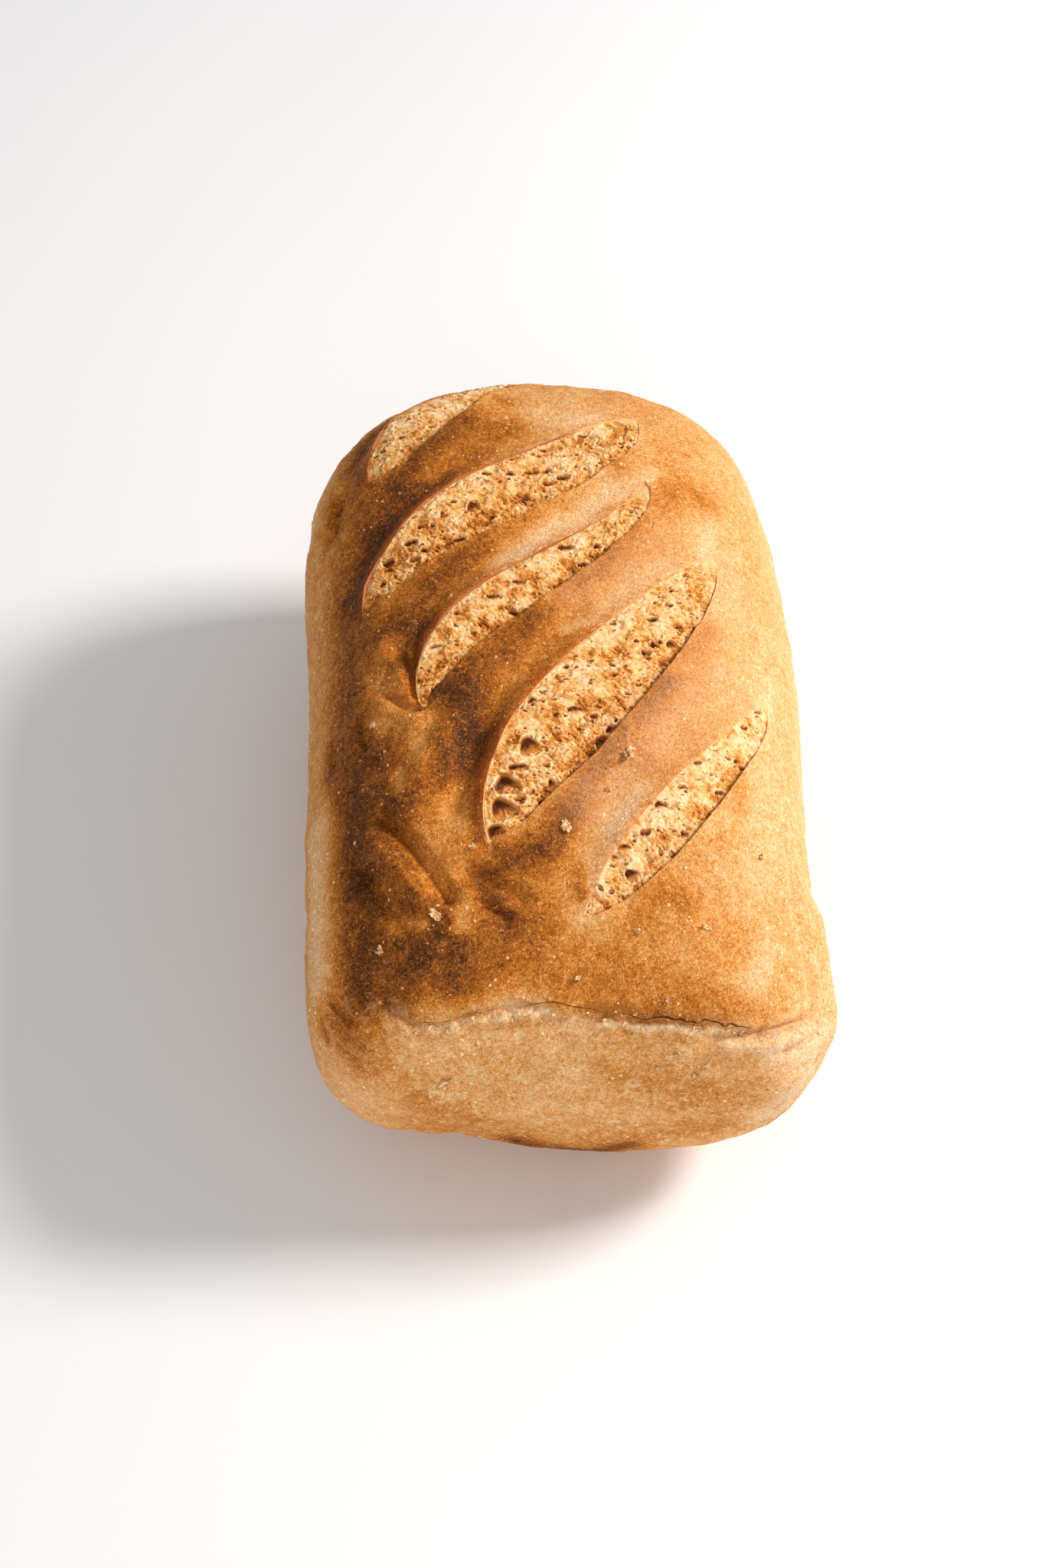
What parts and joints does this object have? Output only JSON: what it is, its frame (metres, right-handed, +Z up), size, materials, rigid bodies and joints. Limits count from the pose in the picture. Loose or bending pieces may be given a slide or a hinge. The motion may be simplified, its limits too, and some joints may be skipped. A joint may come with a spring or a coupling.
{
  "type": "white bread loaf",
  "caption": "Oblong white loaf with a domed, slashed top crust, open crumb in the slashes, a torn crease across one end and a flat base.",
  "frame": {"origin": "middle of the flat base that the loaf rests on", "axes": "+Z up, from the base to the domed top; +Y along the loaf, from the end with the crease to the other end"},
  "size_m": [0.1304, 0.221, 0.1029],
  "materials": {
    "crust": "matte",
    "crumb": "matte"
  },
  "bodies": {
    "root": {"loaf": "crust"}
  },
  "joints": []
}
